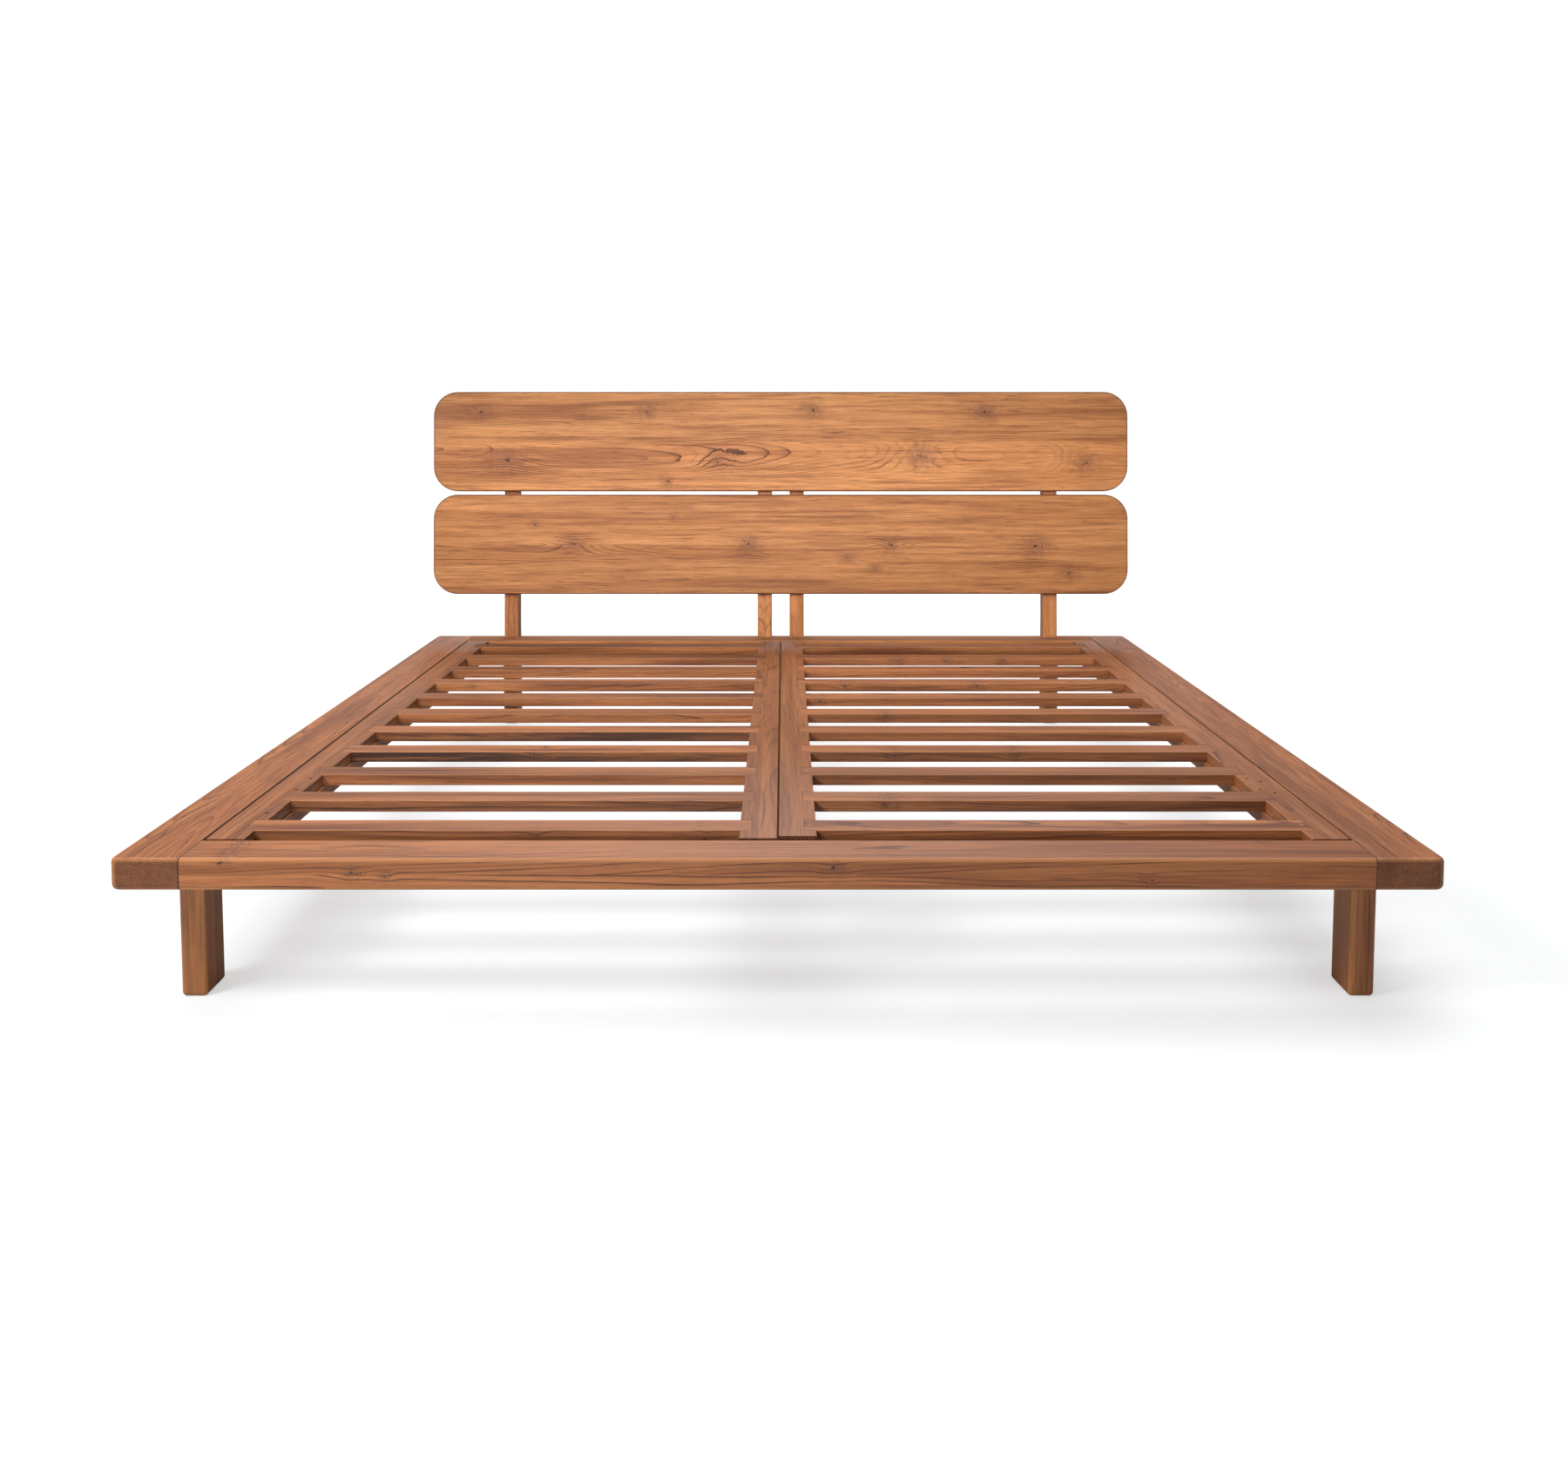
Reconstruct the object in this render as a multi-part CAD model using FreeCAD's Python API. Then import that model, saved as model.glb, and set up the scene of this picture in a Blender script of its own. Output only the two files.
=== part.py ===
"""Low platform bed frame in solid wood: a board platform on short legs, two drop-in slatted
bases side by side, and a reclined headboard of two long panels carried by four leg-posts.

Working frame while building: X to the right seen from the foot, Y from the foot face (0) towards
the head, Z up from the floor. At export everything is shifted along Y so that the origin is on
the floor, in the middle of the plan outline. All sizes are in millimetres.
"""
import FreeCAD
import Part
import math
import os

V = FreeCAD.Vector

# --- platform: four boards around the mattress area ---
mattress_w = 1800.0
mattress_l = 2000.0
rail_w = 100.0
side_w = 105.0
board_t = 50.0
deck_z = 250.0
outer_edge_r = 8.0
plan_corner_r = 15.0
rail_inner_r = 6.0
seam_r = 1.2
tenon_l = 20.0
tenon_w = 56.0
tenon_t = 18.0
joint_gap = 0.1

# --- drop-in slatted bases ---
base_drop = 1.0
base_t = 20.0
base_side_gap = 1.5
stile_w = 60.0
stile_foot_gap = {"outer": 6.0, "left": 12.0, "right": 24.0}
stile_head_gap = 2.0
slat_count = 11
slat_w = 61.0
slat_pitch = 183.0
first_slat_y = 156.0
lap_l = 20.0
lap_t = 10.0
edge_r = 1.5
plug_d = 8.0
plug_l = 3.5
spare_hole_d = 7.0
spare_hole_depth = 12.0
spare_holes = {
    "left": ((853.0, 260.0), (853.0, 415.0), (853.0, 495.0)),
    "right": ((871.0, 391.0), (871.0, 473.0), (853.0, 415.0), (853.0, 495.0)),
}

# --- what carries the bases ---
ledger_w = 66.0
ledger_t = 25.0
beam_w = 84.0
beam_t = 48.0
hanger_t = 3.0
hanger_ears = 150.0
hanger_seat = 45.0
centre_leg_y = (730.0, 1470.0)

# --- legs and leg-posts ---
leg_w = 41.0
leg_d = 82.0
leg_r = 8.0
leg_foot_r = 7.0
front_leg_setback = 92.0
front_leg_x = 917.5
post_x = {"outer": 784.0, "inner": 46.5}
post_d = 50.0
post_r = 5.0
post_length = 680.0
post_front_y = 2170.0
leg_back_y = 2225.0

# --- headboard ---
recline_deg = 5.25
panel_l = 2010.0
panel_h = 288.0
panel_t = 30.0
panel_corner_r = 70.0
panel_edge_r = 5.0
panel_rise = 126.0
panel_gap = 10.0

# --- fasteners ---
screw_d = 4.0
screw_head_d = 7.6
screw_head_l = 2.2
board_screw = {"head_d": 9.0, "head_l": 2.5, "d": 5.0}
deep_screw = {"head_d": 10.0, "head_l": 3.0, "d": 5.0}
ledger_screw_sink = 20.0
ledger_screw_l = 76.0
hanger_screw_l = 35.0
hanger_screw_z = 215.0
hanger_seat_screw = {"x": 18.0, "y": 30.0}
plate_x = 90.0
plate_y = 60.0
plate_t = 3.0
plate_inset = 4.0
plate_screw_l = 28.0
plate_screw_dx = 30.0
plate_screw_dy = 18.0
panel_screw_sink = 8.0
panel_screw_l = 62.0
bolt_d = 8.0
leg_bolt_up = 30.0
leg_bolt_down = 50.0
leg_bolt_dy = 17.0
post_bolt_head_d = 16.0
post_bolt_head_l = 5.0
post_bolt_z = 226.0
post_bolt_l = 112.0
barrel_nut_d = 14.0
barrel_nut_l = 34.0
barrel_nut_y = 2122.0

# --- derived sizes ---
platform_l = mattress_l + 2 * rail_w
half_in = mattress_w / 2
half_out = half_in + side_w
under_z = deck_z - board_t
base_top = deck_z - base_drop
base_z = base_top - base_t
ledger_z = base_z - ledger_t
beam_z = base_z - beam_t
lean_slope = math.tan(math.radians(recline_deg))

parts = {}


def box(x0, x1, y0, y1, z0, z1):
    """Box between two corners."""
    return Part.makeBox(x1 - x0, y1 - y0, z1 - z0, V(x0, y0, z0))


def edges_where(shape, test):
    """Straight edges whose end points a and b satisfy test(a, b)."""
    found = []
    for edge in shape.Edges:
        if len(edge.Vertexes) == 2 and isinstance(edge.Curve, Part.Line):
            a, b = edge.Vertexes[0].Point, edge.Vertexes[1].Point
            if test(a, b):
                found.append(edge)
    return found


def along(axis, a, b):
    """True when the edge from a to b runs along the named axis."""
    d = b - a
    size = {"x": abs(d.x), "y": abs(d.y), "z": abs(d.z)}
    return size[axis] > 0.999 * d.Length


def rounded_box(x0, x1, y0, y1, z0, z1, r, axis):
    """Box with its four edges along one axis rounded."""
    solid = box(x0, x1, y0, y1, z0, z1)
    return solid.makeFillet(r, edges_where(solid, lambda a, b: along(axis, a, b)))


def cylinder(d, length, start, direction):
    """Round bar of diameter d from start along direction."""
    return Part.makeCylinder(d / 2, length, start, direction)


def screw(start, direction, length, head_d=screw_head_d, head_l=screw_head_l, d=screw_d):
    """Screw with a hex socket, its head's outer face at start, pointing along direction."""
    head = cylinder(head_d, head_l, V(0, 0, 0), V(0, 0, 1))
    rim = [e for e in head.Edges if max(v.Z for v in e.Vertexes) < 0.01]
    head = head.makeFillet(head_l * 0.4, rim)
    corners = [V(head_d * 0.3, 0, 0)]
    for _ in range(5):
        turn = FreeCAD.Rotation(V(0, 0, 1), 60)
        corners.append(turn.multVec(corners[-1]))
    socket = Part.Face(Part.makePolygon(corners + corners[:1])).extrude(V(0, 0, head_l * 0.7))
    solid = head.fuse(cylinder(d, length - head_l, V(0, 0, head_l), V(0, 0, 1))).cut(socket)
    solid.Placement = FreeCAD.Placement(start, FreeCAD.Rotation(V(0, 0, 1), direction))
    return solid


def mirrored(shape):
    """Mirror image across the bed's middle plane."""
    return shape.mirror(V(0, 0, 0), V(1, 0, 0))


def reclined(shape):
    """Lean a shape built upright back about the posts' front edge at deck height."""
    leaned = shape.copy()
    leaned.rotate(V(0, post_front_y, deck_z), V(1, 0, 0), -recline_deg)
    return leaned


# ---------------------------------------------------------------- platform boards

def rail(foot_end):
    """Foot or head rail: a profile with a round outer edge, and a stub tenon at each end."""
    y_out, y_in = (0.0, rail_w) if foot_end else (platform_l, platform_l - rail_w)
    y0, y1 = min(y_out, y_in), max(y_out, y_in)
    solid = box(-half_in, half_in, y0, y1, under_z, deck_z)
    outer = edges_where(solid, lambda a, b: along("x", a, b) and abs(a.y - y_out) < 0.1)
    solid = solid.makeFillet(outer_edge_r, outer)
    inner = edges_where(solid, lambda a, b: along("x", a, b) and abs(a.y - y_in) < 0.1
                        and a.z > deck_z - 1)
    solid = solid.makeFillet(rail_inner_r, inner)
    mid_y = (y0 + y1) / 2
    mid_z = deck_z - board_t / 2
    tenon = box(-half_in - tenon_l, half_in + tenon_l, mid_y - tenon_w / 2, mid_y + tenon_w / 2,
                mid_z - tenon_t / 2, mid_z + tenon_t / 2)
    return solid.fuse(tenon).removeSplitter()


def tenon_mortise(y_mid):
    """Cutter for the mortise that takes a rail's stub tenon."""
    mid_z = deck_z - board_t / 2
    w = tenon_w / 2 + joint_gap
    t = tenon_t / 2 + joint_gap
    return box(half_in - 1, half_in + tenon_l + 0.5, y_mid - w, y_mid + w, mid_z - t, mid_z + t)


def side_board():
    """Right-hand side board, running the whole length outside the two rails."""
    solid = box(half_in, half_out, 0, platform_l, under_z, deck_z)
    solid = solid.makeFillet(plan_corner_r, edges_where(
        solid, lambda a, b: along("z", a, b) and a.x > half_out - 1))
    rims = []
    for edge in solid.Edges:
        mid = edge.CenterOfMass
        flat = abs(edge.Vertexes[0].Z - edge.Vertexes[1].Z) < 0.01
        if flat and mid.x > half_in + 1:
            rims.append(edge)
    solid = solid.makeFillet(outer_edge_r, rims)
    inner_top = edges_where(solid, lambda a, b: along("y", a, b) and abs(a.x - half_in) < 0.1
                            and a.z > deck_z - 0.1)
    solid = solid.makeFillet(seam_r, inner_top)
    for y_mid in (rail_w / 2, platform_l - rail_w / 2):
        solid = solid.cut(tenon_mortise(y_mid))
    return solid


# ---------------------------------------------------------------- legs and posts

def leg(x_mid, y0, z_top):
    """Short leg: upright edges and foot edges rounded."""
    solid = box(x_mid - leg_w / 2, x_mid + leg_w / 2, y0, y0 + leg_d, 0, z_top)
    solid = solid.makeFillet(leg_r, edges_where(solid, lambda a, b: along("z", a, b)))
    foot = [e for e in solid.Edges if max(v.Z for v in e.Vertexes) < 0.01]
    return solid.makeFillet(leg_foot_r, foot)


def post_upper(x_mid):
    """Upper part of a leg-post: upright at the back up to the bend, then leaning back."""
    lean = math.radians(recline_deg)
    foot_y = post_front_y - (deck_z - under_z) * lean_slope
    back_at_deck = post_front_y + post_d / math.cos(lean)
    bend_z = deck_z + (leg_back_y - back_at_deck) / math.tan(lean)
    top = V(0, post_front_y + post_length * math.sin(lean), deck_z + post_length * math.cos(lean))
    back_top = top + V(0, post_d * math.cos(lean), -post_d * math.sin(lean))
    outline = [V(0, foot_y, under_z), V(0, leg_back_y, under_z), V(0, leg_back_y, bend_z),
               back_top, top]
    face = Part.Face(Part.makePolygon(outline + outline[:1]))
    face.translate(V(x_mid - leg_w / 2, 0, 0))
    solid = face.extrude(V(leg_w, 0, 0))
    upright = edges_where(solid, lambda a, b: abs(b.z - a.z) > 50)
    return solid.makeFillet(post_r, upright)


def leg_post(x_mid):
    """Rear leg and headboard post in one piece, with a shoulder under the head rail."""
    lower = leg(x_mid, leg_back_y - leg_d, under_z)
    return lower.fuse(post_upper(x_mid)).removeSplitter()


# ---------------------------------------------------------------- headboard

def headboard_panel(rise):
    """Long panel with large round corners, its lower edge at the given rise above the deck."""
    z0, z1 = deck_z + rise, deck_z + rise + panel_h
    y0 = post_front_y - panel_t
    solid = box(-panel_l / 2, panel_l / 2, y0, y0 + panel_t, z0, z1)
    solid = solid.makeFillet(panel_corner_r, edges_where(solid, lambda a, b: along("y", a, b)))
    rims = [e for e in solid.Edges
            if abs(e.Vertexes[0].Y - e.Vertexes[1].Y) < 0.01]
    return reclined(solid.makeFillet(panel_edge_r, rims))


def panel_screw_points():
    """Places of the panel screws on the posts' back, built upright: two per post and panel."""
    points = []
    for rise in (panel_rise, panel_rise + panel_h + panel_gap):
        for share in (0.25, 0.75):
            for x in post_centres():
                points.append(V(x, post_front_y + post_d, deck_z + rise + share * panel_h))
    return points


def post_centres():
    """X of the four leg-posts from left to right."""
    return (-post_x["outer"], -post_x["inner"], post_x["inner"], post_x["outer"])


# ---------------------------------------------------------------- slatted bases

def slat_y(index):
    """Foot-side edge of a slat, counted from 0 at the foot."""
    return first_slat_y + index * slat_pitch


def base_lines():
    """X of the right base's stiles, as (inner stile from, to, outer stile from, to)."""
    x_in = base_side_gap
    x_out = half_in - base_side_gap
    return x_in, x_in + stile_w, x_out - stile_w, x_out


def lap_centres():
    """Centres of the lap joints of the right base, as (x, y) pairs."""
    inner, outer = base_lines()[1], base_lines()[2]
    centres = []
    for index in range(slat_count):
        y = slat_y(index) + slat_w / 2
        centres.append((inner - lap_l / 2, y))
        centres.append((outer + lap_l / 2, y))
    return centres


def lap_fixing_cutter(x, y):
    """Hole for one lap's screw and the plug above it."""
    head_depth = plug_l + screw_head_l
    hole = cylinder(plug_d, head_depth, V(x, y, base_top), V(0, 0, -1))
    return hole.fuse(cylinder(screw_d + 0.1, base_t - 2, V(x, y, base_top), V(0, 0, -1)))


def stile(x0, x1, y0, side, kind):
    """Stile of the right base with a notch in its top for the end of every slat."""
    y1 = platform_l - rail_w - stile_head_gap
    solid = rounded_box(x0, x1, y0, y1, base_z, base_top, edge_r, "y")
    cutters = []
    for index in range(slat_count):
        a = slat_y(index) - joint_gap
        b = slat_y(index) + slat_w + joint_gap
        if kind == "outer":
            cutters.append(box(x0 - 5, x0 + lap_l + joint_gap, a, b, base_top - lap_t, deck_z))
        else:
            cutters.append(box(x1 - lap_l - joint_gap, x1 + 5, a, b, base_top - lap_t, deck_z))
    for x, y in lap_centres():
        if x0 < x < x1:
            cutters.append(lap_fixing_cutter(x, y))
    if kind == "outer":
        for x, y in spare_holes[side]:
            cutters.append(cylinder(spare_hole_d, spare_hole_depth, V(x, y, base_top), V(0, 0, -1)))
    return solid.cut(Part.makeCompound(cutters))


def slat(index):
    """Slat of the right base, thinned from below at both ends where it laps onto the stiles."""
    inner, outer = base_lines()[1], base_lines()[2]
    y0 = slat_y(index)
    solid = rounded_box(inner - lap_l, outer + lap_l, y0, y0 + slat_w, base_z, base_top, edge_r, "x")
    cutters = [box(inner - lap_l - 5, inner + joint_gap, y0 - 5, y0 + slat_w + 5,
                   base_z - 5, base_top - lap_t),
               box(outer - joint_gap, outer + lap_l + 5, y0 - 5, y0 + slat_w + 5,
                   base_z - 5, base_top - lap_t)]
    for x, y in lap_centres():
        if y0 < y < y0 + slat_w:
            cutters.append(lap_fixing_cutter(x, y))
    return solid.cut(Part.makeCompound(cutters))


def lap_screws():
    """Countersunk screws of the right base's laps, under their plugs."""
    return [screw(V(x, y, base_top - plug_l), V(0, 0, -1), base_t - 2 - plug_l)
            for x, y in lap_centres()]


def lap_plugs():
    """Wooden plugs that close the screw holes of the right base's laps."""
    return [cylinder(plug_d, plug_l, V(x, y, base_top - plug_l), V(0, 0, 1))
            for x, y in lap_centres()]


def add_base(side):
    """Add one slatted base: two stiles, the slats, and the screws and plugs of the laps."""
    inner_a, inner_b, outer_a, outer_b = base_lines()
    y_outer = rail_w + stile_foot_gap["outer"]
    y_inner = rail_w + stile_foot_gap[side]
    pieces = {"outer_stile": stile(outer_a, outer_b, y_outer, side, "outer"),
              "inner_stile": stile(inner_a, inner_b, y_inner, side, "inner")}
    for index in range(slat_count):
        pieces["slat_%02d" % (index + 1)] = slat(index)
    pieces["lap_screws"] = Part.makeCompound(lap_screws())
    pieces["lap_plugs"] = Part.makeCompound(lap_plugs())
    for name, shape in pieces.items():
        parts["%s_base_%s" % (side, name)] = mirrored(shape) if side == "left" else shape


# ---------------------------------------------------------------- bearers and hardware

def ledger_screw_places():
    """Y of the ledger's screws: in every second gap between slats."""
    return [slat_y(i) + (slat_w + slat_pitch) / 2 for i in range(1, slat_count - 1, 2)]


def ledger_screw_list():
    """Screws that hold the right ledger to the side board, heads sunk into the ledger."""
    x = half_in - ledger_w + ledger_screw_sink
    z = ledger_z + ledger_t / 2
    return [screw(V(x, y, z), V(1, 0, 0), ledger_screw_l, **deep_screw)
            for y in ledger_screw_places()]


def ledger():
    """Right-hand ledger along the side board's inner face."""
    x0 = half_in - ledger_w
    solid = rounded_box(x0, half_in, rail_w, platform_l - rail_w, ledger_z, base_z, edge_r, "y")
    cutters = []
    for y in ledger_screw_places():
        start = V(x0 - 1, y, ledger_z + ledger_t / 2)
        cutters.append(cylinder(deep_screw["head_d"], ledger_screw_sink + 4, start, V(1, 0, 0)))
        cutters.append(cylinder(deep_screw["d"], ledger_w + 2, start, V(1, 0, 0)))
    return solid.cut(Part.makeCompound(cutters))


def beam():
    """Centre beam under the two inner stiles, resting in a steel hanger at each end."""
    y0 = rail_w + hanger_t
    return rounded_box(-beam_w / 2, beam_w / 2, y0, platform_l - y0, beam_z, base_z, 3.0, "y")


def hanger():
    """Foot-end hanger: a flange against the rail and a seat under the beam."""
    y = rail_w
    flange = box(-hanger_ears / 2, hanger_ears / 2, y, y + hanger_t, beam_z - hanger_t, base_z - 2)
    seat = box(-beam_w / 2, beam_w / 2, y, y + hanger_seat, beam_z - hanger_t, beam_z)
    solid = flange.fuse(seat).removeSplitter()
    return solid.cut(Part.makeCompound(hanger_screws()))


def hanger_screws():
    """Screws of the foot-end hanger: two into the rail and two up into the beam."""
    y_ear = rail_w + hanger_t + board_screw["head_l"]
    z_seat = beam_z - hanger_t - board_screw["head_l"]
    screws = []
    for side in (-1, 1):
        ear = V(side * (beam_w + hanger_ears) / 4, y_ear, hanger_screw_z)
        seat = V(side * hanger_seat_screw["x"], rail_w + hanger_seat_screw["y"], z_seat)
        screws.append(screw(ear, V(0, -1, 0), hanger_screw_l, **board_screw))
        screws.append(screw(seat, V(0, 0, 1), hanger_screw_l, **board_screw))
    return screws


def head_end(shape):
    """The same piece at the head end."""
    return shape.mirror(V(0, platform_l / 2, 0), V(0, 1, 0))


def corner_plate_screws():
    """Screws of the right foot-end corner plate, two into each board."""
    z = under_z - plate_t - board_screw["head_l"]
    y_mid = rail_w / 2 - plate_inset
    return [screw(V(half_in + dx, y_mid + dy, z), V(0, 0, 1), plate_screw_l, **board_screw)
            for dx in (-plate_screw_dx, plate_screw_dx) for dy in (-plate_screw_dy, plate_screw_dy)]


def corner_plate():
    """Steel plate under the seam between the right side board and the foot rail."""
    y_mid = rail_w / 2 - plate_inset
    plate = box(half_in - plate_x / 2, half_in + plate_x / 2, y_mid - plate_y / 2,
                y_mid + plate_y / 2, under_z - plate_t, under_z)
    return plate.cut(Part.makeCompound(corner_plate_screws()))


def four_corners(shapes):
    """Repeat right foot-end pieces at the four corners."""
    right = list(shapes) + [head_end(s) for s in shapes]
    return right + [mirrored(s) for s in right]


def leg_bolts():
    """Dowel screws that join the short legs to the boards: two per front leg and centre leg."""
    bolts = []
    front_y = front_leg_setback + leg_d / 2
    feet = [(-front_leg_x, front_y, under_z), (front_leg_x, front_y, under_z)]
    feet += [(0.0, y, beam_z) for y in centre_leg_y]
    for x, y, z in feet:
        for dy in (-leg_bolt_dy, leg_bolt_dy):
            bolts.append(cylinder(bolt_d, leg_bolt_up + leg_bolt_down,
                                  V(x, y + dy, z - leg_bolt_down), V(0, 0, 1)))
    return bolts


def post_bolts():
    """Bolts from behind through each leg-post into the head rail."""
    return [screw(V(x, leg_back_y + post_bolt_head_l, post_bolt_z), V(0, -1, 0),
                  post_bolt_l + post_bolt_head_l, post_bolt_head_d, post_bolt_head_l, bolt_d)
            for x in post_centres()]


def barrel_nuts():
    """Cross-drilled nuts in the head rail, set from below, one per post bolt."""
    nuts = []
    for x in post_centres():
        nut = cylinder(barrel_nut_d, barrel_nut_l, V(x, barrel_nut_y, under_z), V(0, 0, 1))
        nuts.append(nut.cut(Part.makeCompound(post_bolts())))
    return nuts


def panel_screws():
    """Screws through the leg-posts into the headboard panels."""
    return [reclined(screw(p + V(0, -panel_screw_sink, 0), V(0, -1, 0), panel_screw_l, **deep_screw))
            for p in panel_screw_points()]


def panel_screw_sinks():
    """Cutters for the sunk heads of the panel screws."""
    depth = panel_screw_sink + deep_screw["head_l"]
    return [reclined(cylinder(deep_screw["head_d"], depth + 1, p + V(0, 1, 0), V(0, -1, 0)))
            for p in panel_screw_points()]


# ---------------------------------------------------------------- assembly

def add_frame():
    """Add the platform, its legs and leg-posts, the headboard and their hardware."""
    centre_legs = [leg(0.0, y - leg_d / 2, beam_z) for y in centre_leg_y]
    front_leg = leg(front_leg_x, front_leg_setback, under_z)
    posts = [leg_post(x) for x in post_centres()]
    post_bars = Part.makeCompound([post_upper(x) for x in post_centres()])
    leg_holes = Part.makeCompound(leg_bolts())
    bolt_holes = Part.makeCompound(post_bolts())
    nut_holes = Part.makeCompound([cylinder(barrel_nut_d, barrel_nut_l,
                                            V(x, barrel_nut_y, under_z), V(0, 0, 1))
                                   for x in post_centres()])
    plate_screws = Part.makeCompound(four_corners(corner_plate_screws()))
    hanger_holes = Part.makeCompound(hanger_screws() + [head_end(s) for s in hanger_screws()])
    panel_holes = Part.makeCompound(panel_screws())
    sinks = Part.makeCompound(panel_screw_sinks())
    ledger_holes = Part.makeCompound(ledger_screw_list())

    parts["foot_rail"] = rail(True).cut(hanger_holes).cut(plate_screws)
    head = rail(False).cut(hanger_holes).cut(plate_screws)
    parts["head_rail"] = head.cut(post_bars).cut(bolt_holes).cut(nut_holes)
    right_board = side_board().cut(plate_screws).cut(leg_holes).cut(ledger_holes)
    parts["side_board_right"] = right_board
    parts["side_board_left"] = mirrored(right_board)
    parts["ledger_right"] = ledger()
    parts["ledger_left"] = mirrored(parts["ledger_right"])
    parts["centre_beam"] = beam().cut(hanger_holes).cut(leg_holes)
    parts["centre_leg_foot_end"] = centre_legs[0].cut(leg_holes)
    parts["centre_leg_head_end"] = centre_legs[1].cut(leg_holes)
    parts["front_leg_right"] = front_leg.cut(leg_holes)
    parts["front_leg_left"] = mirrored(parts["front_leg_right"])
    names = ("outer_left", "inner_left", "inner_right", "outer_right")
    for name, post in zip(names, posts):
        parts["leg_post_" + name] = post.cut(bolt_holes).cut(panel_holes).cut(sinks)
    parts["headboard_panel_lower"] = headboard_panel(panel_rise).cut(panel_holes)
    upper_rise = panel_rise + panel_h + panel_gap
    parts["headboard_panel_upper"] = headboard_panel(upper_rise).cut(panel_holes)

    parts["beam_hanger_foot"] = hanger()
    parts["beam_hanger_head"] = head_end(hanger())
    parts["corner_plates"] = Part.makeCompound(four_corners([corner_plate()]))
    parts["corner_plate_screws"] = plate_screws
    parts["beam_hanger_screws"] = hanger_holes
    parts["ledger_screws"] = Part.makeCompound(
        ledger_screw_list() + [mirrored(s) for s in ledger_screw_list()])
    parts["leg_bolts"] = leg_holes
    parts["post_bolts"] = bolt_holes
    parts["post_barrel_nuts"] = Part.makeCompound(barrel_nuts())
    parts["panel_screws"] = panel_holes


def export_all():
    """Shift the parts so that the plan outline's middle is the origin, and write them."""
    y_min = min(shape.optimalBoundingBox().YMin for shape in parts.values())
    y_max = max(shape.optimalBoundingBox().YMax for shape in parts.values())
    os.makedirs("parts", exist_ok=True)
    for name, shape in parts.items():
        shape.translate(V(0, -(y_min + y_max) / 2, 0))
        shape.exportStep("parts/%s.step" % name)
        print(name, len(shape.Solids), round(shape.Volume / 1000), shape.isValid())
    print("length", y_max - y_min, "nodes", len(parts))


add_frame()
for base_side in ("left", "right"):
    add_base(base_side)
export_all()
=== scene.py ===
import math

import bpy
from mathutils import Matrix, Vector


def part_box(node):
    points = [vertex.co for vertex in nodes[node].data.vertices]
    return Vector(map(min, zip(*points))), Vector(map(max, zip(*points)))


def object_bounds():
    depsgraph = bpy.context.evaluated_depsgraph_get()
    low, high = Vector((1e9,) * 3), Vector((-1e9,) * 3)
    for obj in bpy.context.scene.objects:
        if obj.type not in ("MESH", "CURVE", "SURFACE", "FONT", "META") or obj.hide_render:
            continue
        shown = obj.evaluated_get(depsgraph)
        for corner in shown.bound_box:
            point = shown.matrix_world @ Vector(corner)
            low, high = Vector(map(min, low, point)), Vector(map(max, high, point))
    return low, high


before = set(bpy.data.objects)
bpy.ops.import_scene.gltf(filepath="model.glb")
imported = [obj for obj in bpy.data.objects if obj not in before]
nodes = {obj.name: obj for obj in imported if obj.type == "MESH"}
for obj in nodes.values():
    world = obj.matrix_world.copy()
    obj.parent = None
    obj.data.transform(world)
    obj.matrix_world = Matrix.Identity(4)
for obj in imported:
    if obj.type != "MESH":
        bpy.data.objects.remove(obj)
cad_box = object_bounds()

# Low platform bed frame in oiled teak. The frame gives every shape; this script gives the wood its
# figure, the steel its finish, and sets the floor, the light and the camera.

# ------------------------------------------------------------------ node helpers


class Graph:
    """Short calls for building one node tree; every call returns the new node's output socket."""

    def __init__(self, tree):
        self.tree = tree

    def add(self, kind, inputs=(), out=0, **settings):
        """New node of a kind: settings are its properties, inputs are (socket, value) pairs."""
        new = self.tree.nodes.new(kind)
        for name, value in settings.items():
            setattr(new, name, value)
        for socket, value in inputs:
            if isinstance(value, bpy.types.NodeSocket):
                self.tree.links.new(value, new.inputs[socket])
            else:
                new.inputs[socket].default_value = value
        return new.outputs[out]

    def math(self, operation, a, b=0.0, clamp=False):
        return self.add("ShaderNodeMath", ((0, a), (1, b)), operation=operation, use_clamp=clamp)

    def vector(self, operation, a, b=(0.0, 0.0, 0.0)):
        return self.add("ShaderNodeVectorMath", ((0, a), (1, b)), operation=operation)

    def combine(self, x, y, z):
        return self.add("ShaderNodeCombineXYZ", ((0, x), (1, y), (2, z)))

    def split(self, vector):
        first = self.add("ShaderNodeSeparateXYZ", ((0, vector),))
        return first, first.node.outputs[1], first.node.outputs[2]

    def noise(self, vector, scale=1.0, detail=2.0, rough=0.5, w=0.0):
        return self.add("ShaderNodeTexNoise", (("Vector", vector), ("Scale", scale), ("Detail", detail),
                                               ("Roughness", rough), ("W", w)), noise_dimensions="4D")

    def random(self, vector, w=0.0):
        """Random value and random colour of each whole-number cell."""
        value = self.add("ShaderNodeTexWhiteNoise", (("Vector", vector), ("W", w)), noise_dimensions="4D")
        return value, value.node.outputs["Color"]

    def fit(self, value, low, high, to_low=0.0, to_high=1.0):
        """Map low..high of a value smoothly to to_low..to_high, clamped."""
        return self.add("ShaderNodeMapRange", (("Value", value), ("From Min", low), ("From Max", high),
                                               ("To Min", to_low), ("To Max", to_high)),
                        interpolation_type="SMOOTHSTEP")

    def mix(self, factor, a, b):
        return self.add("ShaderNodeMix", (("Factor", factor), (6, a), (7, b)), out=2, data_type="RGBA")


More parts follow.
